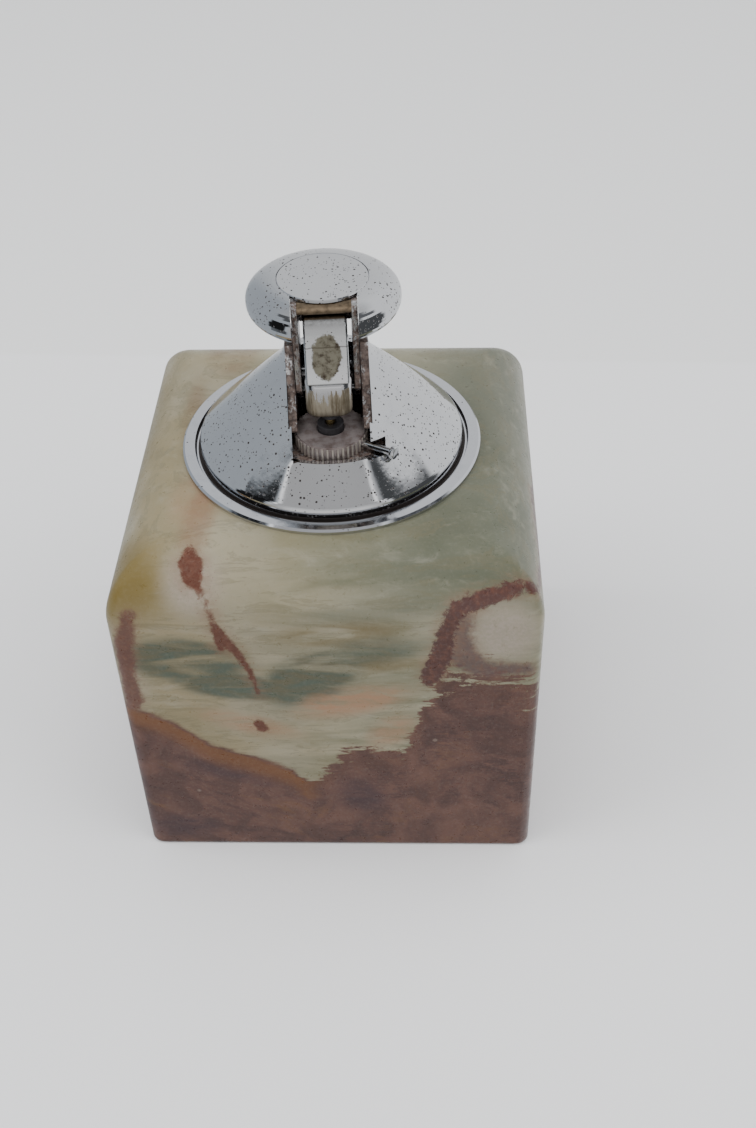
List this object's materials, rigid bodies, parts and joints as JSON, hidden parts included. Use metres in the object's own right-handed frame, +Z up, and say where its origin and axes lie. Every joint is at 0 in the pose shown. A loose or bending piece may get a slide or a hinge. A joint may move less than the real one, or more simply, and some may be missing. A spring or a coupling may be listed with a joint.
{
  "type": "table lighter",
  "caption": "Cube table lighter: polished stone block with a lift-out chromed mechanism, tilting thumb cap, linked snuffer arm, spark wheel and flame ring.",
  "frame": {"origin": "centre of the underside of the block, on the surface it stands on", "axes": "+Z up, -Y to the front where the burner is, +X to the right seen from the front"},
  "size_m": [0.075, 0.076, 0.106],
  "materials": {
    "onyx": "polished",
    "felt": "napped",
    "rubber": "matte",
    "chrome": "polished, pitted with age",
    "worn_plate": "tarnished plating",
    "steel": "plain",
    "brass": "plain",
    "worn_brass": "worn through its plating",
    "tarnished": "tarnished plating",
    "blackened": "blackened",
    "bronzed": "bronzed, worn at the knurling",
    "flint": "matte"
  },
  "bodies": {
    "block": {"stone_block": "onyx", "felt_pad": "felt"},
    "insert": {"flange_plate": "chrome", "grip_ring": "rubber", "cone_housing": "chrome", "chassis": "worn_plate", "mechanism_plate": "steel", "housing_screws": "brass", "tank_top": "brass", "tank_shell": "brass", "tank_base": "brass", "flint_tube": "brass", "flint": "flint", "flint_spring": "steel", "wheel_axle": "steel", "pivot_pins": "steel", "arm_spring": "steel", "burner_body": "brass", "burner_collar": "blackened", "burner_seal": "rubber", "fill_valve_body": "brass", "fill_valve_seal": "rubber"},
    "thumb_lever": {"thumb_cap": "chrome", "thumb_inlay": "chrome", "fork_left": "chrome", "fork_right": "chrome", "fork_back": "chrome", "fork_bar": "worn_brass", "drive_pins": "steel"},
    "snuffer_arm": {"arm_hood": "chrome", "arm_left": "chrome", "arm_right": "chrome", "snuffer_cup": "tarnished", "snuffer_seal": "blackened", "drive_pawl": "steel"},
    "striker": {"flint_wheel": "steel", "ratchet_wheel": "steel"},
    "jet": {"burner_jet": "brass"},
    "flame_adjuster": {"flame_ring": "bronzed", "dial_plate": "bronzed", "adjust_pin": "chrome"},
    "fill_stem": {"fill_valve_stem": "brass"},
    "flint_plug": {"flint_screw": "brass"}
  },
  "joints": [
    {"name": "insert_lift", "type": "slide", "parent": "block", "child": "insert", "axis": [0, 0, 1], "range_m": [0, 0.06]},
    {"name": "cap_tilt", "type": "hinge", "parent": "insert", "child": "thumb_lever", "pos_m": [-0.00008, 0.001, 0.0895], "axis": [-0.9969, -0.0785, 0], "range_deg": [0, 25], "stiffness_Nm_per_rad": 0.08, "springref_deg": -11.46},
    {"name": "arm_swing", "type": "hinge", "parent": "insert", "child": "snuffer_arm", "pos_m": [-0.00008, 0.001, 0.086], "axis": [-0.9969, -0.0785, 0], "range_deg": [0, 46.5]},
    {"name": "wheel_spin", "type": "hinge", "parent": "insert", "child": "striker", "pos_m": [-0.00008, 0.001, 0.086], "axis": [-0.9969, -0.0785, 0], "range_deg": [0, 46.5]},
    {"name": "jet_lift", "type": "slide", "parent": "insert", "child": "jet", "axis": [0, 0, 1], "range_m": [0, 0.00051]},
    {"name": "ring_turn", "type": "hinge", "parent": "insert", "child": "flame_adjuster", "pos_m": [0.00083, -0.01057, 0.0809], "axis": [0, 0, 1], "range_deg": [-90, 0]},
    {"name": "valve_press", "type": "slide", "parent": "insert", "child": "fill_stem", "axis": [0, 0, 1], "range_m": [0, 0.0012], "stiffness_N_per_m": 400, "springref_m": -0.0005},
    {"name": "flint_screw_turn", "type": "hinge", "parent": "insert", "child": "flint_plug", "pos_m": [-0.00008, 0.001, 0.025], "axis": [0, 0, 1], "continuous": true}
  ],
  "couplings": [
    {"joint": "arm_swing", "follows": "cap_tilt", "ratio": 1.85},
    {"joint": "wheel_spin", "follows": "cap_tilt", "ratio": 1.85},
    {"joint": "jet_lift", "follows": "cap_tilt", "m_per_rad": 0.001145}
  ]
}
